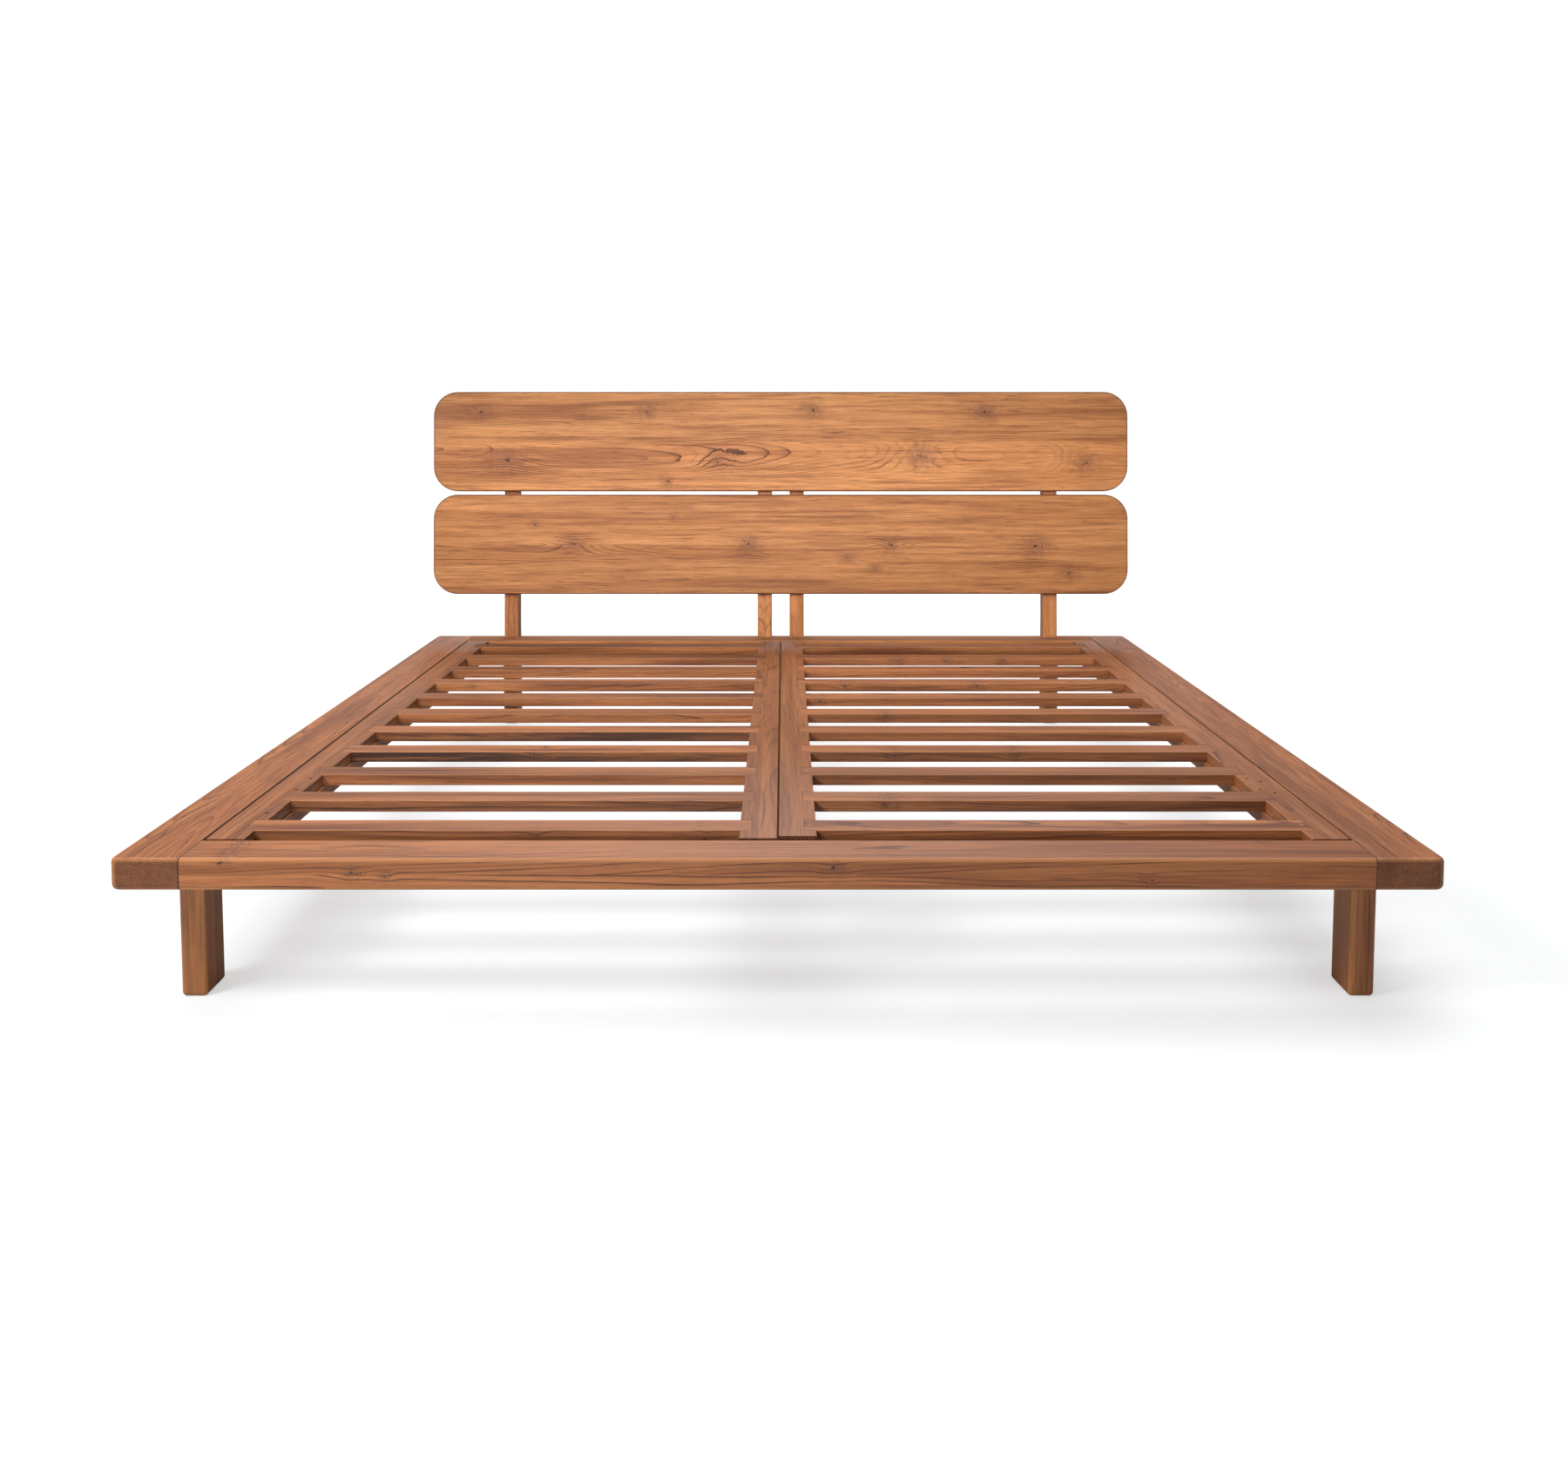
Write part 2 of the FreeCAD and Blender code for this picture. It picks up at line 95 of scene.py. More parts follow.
def new_group(name, inputs, outputs):
    """Empty node group with named sockets: its graph, the sockets it is given and those it makes."""
    tree = bpy.data.node_groups.new(name, "ShaderNodeTree")
    kinds = {"float": "NodeSocketFloat", "vector": "NodeSocketVector", "color": "NodeSocketColor"}
    for label, kind in inputs:
        tree.interface.new_socket(label, in_out="INPUT", socket_type=kinds[kind])
    for label, kind in outputs:
        tree.interface.new_socket(label, in_out="OUTPUT", socket_type=kinds[kind])
    given = tree.nodes.new("NodeGroupInput").outputs
    return Graph(tree), given, tree.nodes.new("NodeGroupOutput").inputs


def use_group(graph, group, inputs):
    """Place a node group in a graph and return the placed node's outputs."""
    new = graph.tree.nodes.new("ShaderNodeGroup")
    new.node_tree = group
    for label, value in inputs.items():
        if isinstance(value, bpy.types.NodeSocket):
            graph.tree.links.new(value, new.inputs[label])
        else:
            new.inputs[label].default_value = value
    return new.outputs


# ------------------------------------------------------------------ teak


KNOT_OUTPUTS = ("Bend", "Core", "Line", "Crack")

# Wood colours, linear. Each pair is plain teak and the yellower teak of the headboard.
LIGHT_WOOD = (0.470, 0.178, 0.064, 1.0), (0.560, 0.246, 0.086, 1.0)
MIDDLE_WOOD = (0.340, 0.118, 0.040, 1.0), (0.430, 0.172, 0.055, 1.0)
DEEP_WOOD = (0.185, 0.057, 0.021, 1.0)
DARK_WOOD = (0.065, 0.021, 0.010, 1.0)
END_GRAIN = (0.130, 0.048, 0.024, 1.0)
SMOKE = (0.070, 0.030, 0.020, 1.0)
PIT = (0.060, 0.024, 0.014, 1.0)
KNOT_BODY = (0.230, 0.092, 0.046, 1.0)
KNOT_RING = (0.085, 0.030, 0.016, 1.0)
KNOT_HEART = (0.030, 0.012, 0.008, 1.0)
# painted highlight and painted shade for the rounded edges
EDGE_HIGHLIGHT_PAINT = (0.640, 0.300, 0.120, 1.0)
EDGE_SHADE_PAINT = (0.130, 0.038, 0.014, 1.0)
# colour of the painted shade in the seams and of the slats' glue lines
SEAM_SHADE_AND_GLUE_LINE = (0.040, 0.016, 0.010, 1.0)

# Noise cells per metre along the grain, across the face and through the thickness.
FADE_CELLS = (2.4, 16.0, 16.0)
FLAME_CELLS = (1.3, 22.0, 22.0)
STREAK_CELLS = (3.0, 110.0, 110.0)
FIBRE_CELLS = (9.0, 330.0, 330.0)
DASH_CELLS = (15.0, 400.0, 400.0)
PORE_CELLS = (26.0, 900.0, 900.0)
PIT_CELLS = (2.1, 8.0, 8.0)
RIPPLE_CELLS = (4.0, 50.0, 50.0)
WANDER_CELLS = (0.9, 4.0, 4.0)
KNOT_CELLS = 48.0
WORN_CELLS = 60.0
TORN_CELLS = 130.0
MIDDLE_NOISE = (0.5, 0.5, 0.5)  # a noise colour's middle value, taken off so that it swings both ways

KNOT_RINGS = 260.0  # rings per metre of a knot's radius
KNOT_WOBBLE = (0.022, 0.014, 0.0)  # metres that a knot's outline wanders along and across the grain
KNOT_OVAL = 0.70  # a knot's body is longer along the grain by one over this
SWERVE_OVAL = 0.34, 0.70  # the swerve round it reaches its size over these, along and across
KNOT_SWERVE = 0.45  # how far growth rings give way round a knot, as a part of its size
PITH_SPREAD = 0.26  # metres over which the staves' piths lie, across the face
PITH_NEAR, PITH_FAR = 0.045, 0.16  # metres of the nearest pith below the face, and what may be added
WANDER = 0.075  # metres that the pith wanders along the grain
RIPPLE = 0.0030  # metres of small waviness in the rings
LEAN = 0.10  # slope of a stave's pith against its face, at most half of this either way
STAVE_SHIFT = (17.0, 23.0, 31.0)  # moves each stave to another part of the wandering noise
PIT_SHARE = 0.62  # part of the cells that have no pit


def knot_group():
    """One knot: how far it bends the growth rings around it, its body, its rings and its torn heart.

    P is a place in the board (along the grain, across the face, through the thickness)."""
    g, given, made = new_group("teak_knot", (("P", "vector"), ("Place", "vector"), ("Size", "float")),
                               tuple((label, "float") for label in KNOT_OUTPUTS))
    wobble = g.add("ShaderNodeTexNoise", (("Vector", given["P"]), ("Scale", KNOT_CELLS), ("Detail", 3.0)),
                   out=1)
    wobble = g.vector("SUBTRACT", wobble, MIDDLE_NOISE)
    wobble = g.vector("MULTIPLY", wobble, KNOT_WOBBLE)
    off = g.vector("SUBTRACT", g.vector("ADD", given["P"], wobble), given["Place"])
    along, across, _ = g.split(off)
    along = g.math("DIVIDE", along, given["Size"])
    across = g.math("DIVIDE", across, given["Size"])

    # the rings' swerve fades out smoothly with the distance
    wide = g.math("ADD", g.math("POWER", g.math("MULTIPLY", along, SWERVE_OVAL[0]), 2.0),
                  g.math("POWER", g.math("MULTIPLY", across, SWERVE_OVAL[1]), 2.0))
    bend = g.math("EXPONENT", g.math("MULTIPLY", wide, -1.0))
    g.tree.links.new(g.math("MULTIPLY", bend, given["Size"]), made["Bend"])

    # near is 0 at the knot's middle and 1 at its edge: body, fine rings worn away here and there, heart
    near = g.math("SQRT", g.math("ADD", g.math("POWER", g.math("MULTIPLY", along, KNOT_OVAL), 2.0),
                                 g.math("POWER", across, 2.0)))
    g.tree.links.new(g.fit(near, 1.10, 0.40), made["Core"])
    phase = g.math("FRACT", g.math("MULTIPLY", g.math("MULTIPLY", near, given["Size"]), KNOT_RINGS))
    line = g.math("MULTIPLY", g.fit(phase, 0.45, 0.95), g.fit(near, 2.00, 0.90))
    worn = g.noise(given["P"], WORN_CELLS, 2.0, 0.6)
    g.tree.links.new(g.math("MULTIPLY", line, g.fit(worn, 0.35, 0.60)), made["Line"])
    torn = g.math("MULTIPLY", g.math("SUBTRACT", g.noise(given["P"], TORN_CELLS, 3.0, 0.7), 0.5), 1.6)
    g.tree.links.new(g.fit(g.math("ADD", near, torn), 0.20, 0.02), made["Crack"])
    return g.tree


def teak_group():
    """Solid teak as a volume: growth rings round a wandering pith, fibres, pores and glued staves."""
    g, given, made = new_group(
        "teak_figure",
        (("P", "vector"), ("End", "float"), ("Seed", "float"), ("Stave", "float"), ("Ply", "float"),
         ("Bend", "float"), ("Core", "float"), ("Line", "float"), ("Crack", "float"),
         ("Edge", "float"), ("Seam", "float"), ("Tone", "float"), ("Gold", "float"), ("Figure", "float"),
         ("Streak", "float"), ("Open", "float"), ("Rings", "float"), ("Heart", "float")),
        (("Color", "color"), ("Roughness", "float"), ("Height", "float")))
    seed = given["Seed"]
    along, across, through = g.split(given["P"])

    # the glued stave that this place belongs to, and that stave's own random numbers
    stave_v = g.math("DIVIDE", across, given["Stave"])
    stave_w = g.math("DIVIDE", through, given["Ply"])
    cell = g.combine(g.math("FLOOR", stave_v), g.math("FLOOR", stave_w), 0.0)
    _, lot = g.random(cell, seed)
    lot_a, lot_b, lot_c = g.split(lot)

    # where the pith of the stave's log lies, and how it wanders along the grain
    slow = g.vector("MULTIPLY", given["P"], WANDER_CELLS)
    slow = g.vector("ADD", slow, g.vector("MULTIPLY", lot, STAVE_SHIFT))
    bow = g.add("ShaderNodeTexNoise", (("Vector", slow), ("Scale", 1.0), ("Detail", 2.0), ("W", seed)),
                out=1, noise_dimensions="4D")
    bow_v, bow_w, _ = g.split(g.vector("SUBTRACT", bow, MIDDLE_NOISE))
    pith_v = g.math("MULTIPLY", g.math("MULTIPLY", g.math("SUBTRACT", lot_a, 0.5), PITH_SPREAD),
                    given["Heart"])
    pith_w = g.math("MULTIPLY", g.math("ADD", g.math("MULTIPLY", lot_b, PITH_FAR), PITH_NEAR), given["Heart"])
    lean = g.math("MULTIPLY", g.math("MULTIPLY", g.math("SUBTRACT", lot_c, 0.5), LEAN), along)
    ring_v = g.math("ADD", g.math("SUBTRACT", across, pith_v), g.math("MULTIPLY", bow_v, WANDER))
    ring_w = g.math("ADD", g.math("ADD", through, g.math("ADD", pith_w, lean)),
                    g.math("MULTIPLY", bow_w, WANDER))
    radius = g.math("SQRT", g.math("ADD", g.math("POWER", ring_v, 2.0), g.math("POWER", ring_w, 2.0)))

    # small waviness of the rings, stretched along the grain, and the swerve round knots
    ripple = g.noise(g.vector("MULTIPLY", given["P"], RIPPLE_CELLS), 1.0, 3.0, 0.6, seed)
    radius = g.math("ADD", radius, g.math("MULTIPLY", g.math("SUBTRACT", ripple, 0.5), RIPPLE))
    radius = g.math("ADD", radius, g.math("MULTIPLY", given["Bend"], KNOT_SWERVE))

    # growth rings: the late wood darkens towards each ring's end, and every ring has its own strength;
    # it fades in places, and stands out more round knots and on the end grain
    rings = g.math("MULTIPLY", radius, given["Rings"])
    ring_index = g.math("FLOOR", rings)
    ring_rand, _ = g.random(g.combine(ring_index, 0.0, 3.0), seed)
    phase = g.math("FRACT", rings)
    late = g.math("MULTIPLY", g.math("POWER", phase, 7.0), 1.25)
    late = g.math("MULTIPLY", late, g.fit(phase, 1.0, 0.93))
    own = g.math("ADD", g.math("POWER", ring_rand, 1.4), 0.20)
    late = g.math("MULTIPLY", late, g.math("ADD", own, g.math("MULTIPLY", given["End"], 0.35)))
    fade = g.noise(g.vector("MULTIPLY", given["P"], FADE_CELLS), 1.0, 3.0, 0.6, seed)
    late = g.math("MULTIPLY", late, g.fit(fade, 0.36, 0.64, 0.22, 1.25))
    late = g.math("MULTIPLY", late, g.math("ADD", g.math("MULTIPLY", given["Bend"], 70.0), 1.0))
    late = g.math("MULTIPLY", late, g.math("ADD", g.math("MULTIPLY", given["End"], 3.0), 1.0))

    # broad bands of lighter and darker wood that follow the rings
    band = g.noise(g.combine(g.math("MULTIPLY", radius, 26.0), g.math("MULTIPLY", along, 0.5), 0.0),
                   1.0, 3.0, 0.6, seed)

    # fibres and pores, seen as streaks on the face and as dots on the end grain, which drinks more oil
    fibre = g.noise(g.vector("MULTIPLY", given["P"], FIBRE_CELLS), 1.0, 3.0, 0.65, seed)
    streak = g.noise(g.vector("MULTIPLY", given["P"], STREAK_CELLS), 1.0, 3.0, 0.6, seed)
    pore = g.noise(g.vector("MULTIPLY", given["P"], PORE_CELLS), 1.0, 1.0, 0.5, seed)
    pore = g.fit(pore, 0.56, 0.72)
    dash = g.noise(g.vector("MULTIPLY", given["P"], DASH_CELLS), 1.0, 2.0, 0.6, seed)
    flame = g.noise(g.vector("MULTIPLY", given["P"], FLAME_CELLS), 1.0, 4.0, 0.62, seed)

    # the colours, laid over one another from the broadest to the finest
    light = g.mix(given["Gold"], *LIGHT_WOOD)
    middling = g.mix(given["Gold"], *MIDDLE_WOOD)
    color = g.mix(g.fit(band, 0.36, 0.64), light, middling)
    flame = g.math("MULTIPLY", g.fit(flame, 0.48, 0.66), given["Figure"], clamp=True)
    color = g.mix(flame, color, DEEP_WOOD)
    color = g.mix(g.math("MULTIPLY", g.fit(streak, 0.46, 0.70), 0.60), color, DEEP_WOOD)
    fibres = g.math("MULTIPLY", g.fit(fibre, 0.40, 0.70), given["Open"])
    color = g.mix(g.math("MULTIPLY", fibres, 0.36, clamp=True), color, DEEP_WOOD)
    color = g.mix(g.math("MULTIPLY", given["End"], 0.66), color, END_GRAIN)
    late = g.math("MULTIPLY", late, g.math("ADD", given["Figure"], 0.60))
    color = g.mix(g.math("MINIMUM", late, 0.92), color, DARK_WOOD)
    dashes = g.math("MULTIPLY", g.fit(dash, 0.56, 0.70), given["Open"])
    color = g.mix(g.math("MULTIPLY", dashes, 0.42, clamp=True), color, DARK_WOOD)
    color = g.mix(g.math("MULTIPLY", pore, 0.28), color, DARK_WOOD)

    # mineral streaks: long dark smoky marks, only on boards that have them
    smoke = g.noise(g.combine(g.math("MULTIPLY", radius, 60.0), g.math("MULTIPLY", along, 2.2),
                              g.math("MULTIPLY", across, 8.0)), 1.0, 4.0, 0.7, seed)
    smoke = g.math("MULTIPLY", g.fit(smoke, 0.42, 0.60), given["Streak"])
    color = g.mix(smoke, color, SMOKE)

    # pin knots and small pits
    cells = g.add("ShaderNodeTexVoronoi", (("Vector", g.vector("MULTIPLY", given["P"], PIT_CELLS)),
                                           ("W", seed), ("Scale", 1.0)), voronoi_dimensions="4D")
    pit_rand = g.split(cells.node.outputs["Color"])[0]
    pit = g.math("MULTIPLY", g.fit(cells, 0.050, 0.018), g.math("GREATER_THAN", pit_rand, PIT_SHARE))
    color = g.mix(g.math("MULTIPLY", pit, 0.75), color, PIT)

    # knots: a brownish body with its own fine rings, and a torn dark heart
    color = g.mix(g.math("MULTIPLY", given["Core"], 0.50, clamp=True), color, KNOT_BODY)
    color = g.mix(g.math("MULTIPLY", given["Line"], 0.72, clamp=True), color, KNOT_RING)
    color = g.mix(g.math("MULTIPLY", given["Crack"], 0.90, clamp=True), color, KNOT_HEART)

    # painted highlight on rounded edges, standing for the light they catch; below zero, on thin panels,
    # painted shade along them instead
    color = g.mix(g.math("MAXIMUM", given["Edge"], 0.0), color, EDGE_HIGHLIGHT_PAINT)
    color = g.mix(g.math("MAXIMUM", g.math("MULTIPLY", given["Edge"], -1.0), 0.0), color, EDGE_SHADE_PAINT)

    # painted shade in the seams between boards, and the dark glue lines round the slats' laps
    color = g.mix(g.math("MULTIPLY", given["Seam"], 0.85), color, SEAM_SHADE_AND_GLUE_LINE)

    # each board has its own tone, and each stave is up to a tenth lighter or darker
    tone = g.math("MULTIPLY", g.math("ADD", g.math("MULTIPLY", lot_c, 0.20), 0.90), given["Tone"])
    color = g.vector("SCALE", color)
    g.tree.links.new(tone, color.node.inputs["Scale"])

    # fibres stand up, pores, late wood and pits lie deeper; raised fibres and end grain are duller
    height = g.math("SUBTRACT", g.math("MULTIPLY", fibre, 0.5), g.math("MULTIPLY", pore, 0.7))
    height = g.math("SUBTRACT", height, g.math("MULTIPLY", late, 0.35))
    height = g.math("SUBTRACT", height, g.math("MULTIPLY", pit, 2.0))
    rough = g.math("ADD", g.math("MULTIPLY", fibre, 0.16), 0.40)
    rough = g.math("ADD", rough, g.math("MULTIPLY", given["End"], 0.12))
    g.tree.links.new(color, made["Color"])
    g.tree.links.new(rough, made["Roughness"])
    g.tree.links.new(height, made["Height"])
    return g.tree


TEAK = teak_group()
KNOT = knot_group()

SEAM_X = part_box("ledger_right")[1][0]  # the inner faces of the side boards lie at plus and minus this
# The object's axes that lie along the grain, across the face and through the thickness.
GRAIN_ORDER = {"x": (0, 1, 2), "x_upright": (0, 2, 1), "y": (1, 0, 2), "z": (2, 0, 1)}
# Distances at which a dark line fades out and at which it is full: from the middle of a seam, from a
# slat's long side in its laps, and from its ends.
SEAM_LINE = 0.0018, 0.0006
LAP_SIDE_LINE = 0.0022, 0.0010
LAP_END_LINE = 0.0026, 0.0012
LAP_STRENGTH = 0.60
UPWARD = 0.5, 0.9  # upward part of a face's direction at which it begins to be a top, and is one
BUMP_DEPTH = 0.0006
TEAK_GLOSS = 0.34


def lap_outline(g, place, upward, low, high, from_left, from_right):
    """Thin dark glue line on top of a slat, round the two ends that lie in the stiles.

    low and high are the slat's box; from_left and from_right are the lengths of the two laps."""
    x, y, _ = g.split(place)
    left = g.math("SUBTRACT", x, low[0])
    right = g.math("SUBTRACT", high[0], x)
    to_side = g.math("MINIMUM", g.math("SUBTRACT", y, low[1]), g.math("SUBTRACT", high[1], y))
    inside = g.math("MAXIMUM", g.math("LESS_THAN", left, from_left), g.math("LESS_THAN", right, from_right))
    side = g.math("MULTIPLY", g.fit(to_side, *LAP_SIDE_LINE), inside)
    line = g.math("MAXIMUM", side, g.fit(g.math("MINIMUM", left, right), *LAP_END_LINE))
    return g.math("MULTIPLY", g.math("MULTIPLY", line, g.fit(upward, *UPWARD)), LAP_STRENGTH)


def teak(name, centre, grain, seed, tone, stave=0.5, ply=0.5, gold=0.0, figure=0.7, streak=0.0,
         open_grain=1.0, rings=175.0, heart=1.0, edge=0.22, knots=(), knot_face="flat", seam=0.0,
         laps=(), top_wear=0.0, matt=0.0):
    """Material of one board: its grain direction, its own seed, its glued staves and its knots.

    centre is the board's middle; knots are (along, across, size) from that middle, in metres, on
    its flat face or on its edge. stave and ply are the width and thickness of its glued staves,
    rings the growth rings per metre and heart how far the pith lies away. gold makes the wood
    yellower, figure strengthens its pattern and open_grain its fibres, and streak adds smoky marks.
    edge paints a highlight on its rounded edges, or below zero paints shade on them. seam paints shade into
    the seams by the side boards and laps draw dark glue lines, top_wear paints the top darker and the sides
    lighter as shade, or the other way round below zero, and matt dulls the oil."""
    material = bpy.data.materials.new("teak_" + name)
    material.use_nodes = True
    tree = material.node_tree
    g = Graph(tree)
    shader = tree.nodes["Principled BSDF"]
    place = tree.nodes.new("ShaderNodeTexCoord")
    offset = g.vector("SUBTRACT", place.outputs["Object"], centre)
    order = GRAIN_ORDER[grain]
    axes = g.split(offset)
    here = g.combine(*(axes[i] for i in order))
    normal = g.split(place.outputs["Normal"])
    end = g.fit(g.math("ABSOLUTE", normal[order[0]]), 0.55, 0.95)
    flattest = g.math("MAXIMUM", g.math("ABSOLUTE", normal[0]), g.math("ABSOLUTE", normal[1]))
    flattest = g.math("MAXIMUM", flattest, g.math("ABSOLUTE", normal[2]))
    # how much a face is a rounded edge, scaled by edge: painted highlight, or below zero painted shade
    rounded = g.fit(flattest, 0.975, 0.90, 0.0, edge)
    bend, core, line, crack = 0.0, 0.0, 0.0, 0.0
    knot_plane = here
    if knot_face == "edge":
        knot_plane = g.combine(*(axes[order[i]] for i in (0, 2, 1)))
    for along, across, size in knots:
        knot = use_group(g, KNOT, {"P": knot_plane, "Place": (along, across, 0.0), "Size": size})
        bend = g.math("ADD", knot["Bend"], bend)
        core = g.math("MAXIMUM", knot["Core"], core)
        line = g.math("MAXIMUM", knot["Line"], line)
        crack = g.math("MAXIMUM", knot["Crack"], crack)
    seam_shade_and_glue_line = 0.0
    # painted shade: a dark line along the seams at the side boards' inner faces
    if seam:
        to_seam = g.math("SUBTRACT", g.math("ABSOLUTE", g.split(place.outputs["Object"])[0]), SEAM_X)
        seam_shade_and_glue_line = g.fit(g.math("ABSOLUTE", to_seam), *SEAM_LINE, 0.0, seam)
    # painted shade: the top and the sides of the board take different tones
    if top_wear:
        upward = g.math("ABSOLUTE", normal[2])
        tone = g.fit(upward, *UPWARD, tone * (1.0 + top_wear), tone * (1.0 - top_wear))
    if laps:
        seam_shade_and_glue_line = lap_outline(g, place.outputs["Object"], normal[2], *laps)
    if streak:
        streak = g.fit(g.math("ABSOLUTE", normal[2]), 0.90, 0.50, 0.0, streak)
    wood = use_group(g, TEAK, {"P": here, "End": end, "Seed": seed, "Stave": stave, "Ply": ply,
                               "Bend": bend, "Core": core, "Line": line, "Crack": crack,
                               "Edge": rounded, "Seam": seam_shade_and_glue_line, "Tone": tone, "Gold": gold, "Figure": figure,
                               "Streak": streak, "Open": open_grain, "Rings": rings, "Heart": heart})
    tree.links.new(wood["Color"], shader.inputs["Base Color"])
    tree.links.new(g.math("ADD", wood["Roughness"], matt), shader.inputs["Roughness"])
    bump = g.add("ShaderNodeBump", (("Height", wood["Height"]), ("Strength", 0.30), ("Distance", BUMP_DEPTH)))
    tree.links.new(bump, shader.inputs["Normal"])
    shader.inputs["Specular IOR Level"].default_value = TEAK_GLOSS
    return material


COOL_ZINC = (0.50, 0.52, 0.55, 1.0)
WARM_ZINC = (0.66, 0.66, 0.63, 1.0)


def steel():
    """Zinc-plated steel: pale grey with fine brushing and a faint bluish patchiness."""
    material = bpy.data.materials.new("zinc_plated_steel")
    material.use_nodes = True
    tree = material.node_tree
    g = Graph(tree)
    shader = tree.nodes["Principled BSDF"]
    place = tree.nodes.new("ShaderNodeTexCoord").outputs["Object"]
    patch = g.noise(place, 60.0, 3.0)
    brush = g.noise(g.vector("MULTIPLY", place, (30.0, 900.0, 900.0)), 1.0, 2.0)
    color = g.mix(patch, COOL_ZINC, WARM_ZINC)
    tree.links.new(color, shader.inputs["Base Color"])
    tree.links.new(g.fit(brush, 0.3, 0.7, 0.26, 0.44), shader.inputs["Roughness"])
    bump = g.add("ShaderNodeBump", (("Height", brush), ("Strength", 0.15), ("Distance", 0.0002)))
    tree.links.new(bump, shader.inputs["Normal"])
    shader.inputs["Metallic"].default_value = 1.0
    return material


def middle(name):
    """Middle of a node's box."""
    low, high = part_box(name)
    return tuple((a + b) / 2 for a, b in zip(low, high))


def paint(name, material):
    """Give a CAD node one material in all its slots."""
    for slot in nodes[name].material_slots:
        slot.material = material


# ------------------------------------------------------------------ one material per board

# Words in the names of the steel nodes, and the panels' knots as (along, up, size) from the middle.
STEEL_WORDS = ("screws", "bolts", "plates", "hanger", "nuts")
PANEL_KNOTS = {
    "headboard_panel_upper": ((-0.790, -0.052, 0.034), (0.408, -0.040, 0.036), (0.882, -0.060, 0.026),
                              (-0.869, 0.086, 0.024), (-0.388, 0.088, 0.022), (-0.185, -0.056, 0.020),
                              (-0.327, -0.114, 0.016), (0.090, 0.092, 0.024), (0.592, 0.086, 0.026)),
    "headboard_panel_lower": ((-0.599, 0.003, 0.024), (-0.092, 0.002, 0.024), (-0.712, 0.060, 0.011),
                              (-0.314, 0.081, 0.011), (0.318, -0.001, 0.022), (0.190, -0.038, 0.016),
                              (0.273, -0.067, 0.013), (0.737, -0.004, 0.027), (0.834, -0.084, 0.018)),
}


def grain_of(name):
    """Direction of the grain: along each piece's length."""
    if name.startswith("headboard_panel"):
        return "x_upright"
    if name.startswith(("side_board", "ledger", "centre_beam")) or name.endswith("stile"):
        return "y"
    if name.startswith(("leg_post", "front_leg", "centre_leg")):
        return "z"
    return "x"


# Knots on the front of the foot rail, slats lighter or darker than the rest, and slats with smoky
# marks. Knots on slats are on their front edge.
FOOT_RAIL_KNOTS = ((-0.835, 0.019, 0.009), (-0.640, 0.002, 0.010), (-0.590, -0.004, 0.007),
                   (0.085, 0.010, 0.010), (0.560, -0.006, 0.008))
SLAT_TONE = {"left_base_slat_03": 0.95, "left_base_slat_06": 0.91, "left_base_slat_07": 0.88,
             "right_base_slat_01": 1.16, "right_base_slat_10": 0.84, "right_base_slat_11": 0.95}
SMOKY = {"left_base_slat_01": 0.35, "left_base_slat_02": 0.40, "left_base_slat_04": 0.95,
         "left_base_slat_05": 0.85, "right_base_slat_04": 0.25, "right_base_slat_06": 0.35}
SLAT_KNOTS = {
    "left_base_slat_01": ((0.330, -0.004, 0.011), (0.064, 0.000, 0.007)),
    "left_base_slat_04": ((-0.020, 0.003, 0.010),),
    "left_base_slat_08": ((-0.300, 0.003, 0.009),),
    "right_base_slat_02": ((-0.263, 0.004, 0.012),),
    "right_base_slat_04": ((-0.226, 0.002, 0.009), (0.013, 0.004, 0.009)),
    "right_base_slat_06": ((-0.220, 0.003, 0.011),),
    "right_base_slat_07": ((-0.360, 0.002, 0.010),),
    "right_base_slat_08": ((-0.290, 0.002, 0.009), (0.027, 0.003, 0.010)),
    "right_base_slat_10": ((-0.137, 0.002, 0.011), (-0.004, 0.003, 0.008), (0.140, 0.000, 0.010)),
}


def own_tone(index):
    """A tone between 0.88 and 1.12 that differs from board to board."""
    return 1.0 + 0.12 * math.sin(12.9898 * index + 4.0)


def lap_lengths(name):
    """How far a slat's left and right end lie in the two stiles of its base."""
    side = name.split("_")[0]
    stiles = (side + "_base_outer_stile", side + "_base_inner_stile")
    left, right = sorted((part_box(stile) for stile in stiles), key=lambda box: box[0][0])
    low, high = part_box(name)
    return low, high, left[1][0] - low[0], high[0] - right[0][0]


